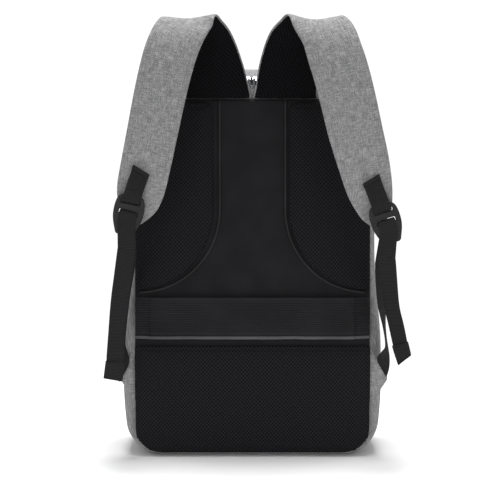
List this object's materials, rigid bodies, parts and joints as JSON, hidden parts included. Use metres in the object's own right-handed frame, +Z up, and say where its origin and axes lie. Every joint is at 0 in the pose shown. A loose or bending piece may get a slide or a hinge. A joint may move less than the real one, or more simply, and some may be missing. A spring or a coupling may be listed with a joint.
{
  "type": "anti theft backpack",
  "caption": "Grey rectangular backpack seen from its harness side, with a black mesh back panel, padded shoulder straps, ladder-lock buckles and a luggage band.",
  "frame": {"origin": "middle of the bag's flat bottom, on the surface that it stands on", "axes": "+Z up, +X to the right as the back panel is looked at, -Y out of the back panel"},
  "size_m": [0.3434, 0.2143, 0.5043],
  "materials": {
    "melange": "matte grey melange weave",
    "air_mesh": "matte black air mesh",
    "smooth_cloth": "smooth black cloth",
    "webbing": "ribbed black webbing",
    "plastic": "fine matte moulded",
    "metal": "satin nickel"
  },
  "bodies": {
    "root": {"bag_shell": "melange", "strap_left_cover": "melange", "strap_right_cover": "melange", "wing_left": "melange", "wing_right": "melange", "pad_upper_left": "air_mesh", "pad_upper_right": "air_mesh", "pad_lower": "air_mesh", "strap_left_mesh": "air_mesh", "strap_right_mesh": "air_mesh", "back_board": "smooth_cloth", "luggage_band": "smooth_cloth", "piping_upper_left": "smooth_cloth", "piping_upper_right": "smooth_cloth", "zip_tape": "smooth_cloth", "tab_left": "webbing", "tab_right": "webbing", "webbing_left": "webbing", "webbing_right": "webbing", "buckle_left": "plastic", "buckle_right": "plastic", "zip_coil": "plastic", "zip_slider_left": "metal", "zip_slider_right": "metal", "zip_pull_left": "metal", "zip_pull_right": "metal"}
  },
  "joints": []
}
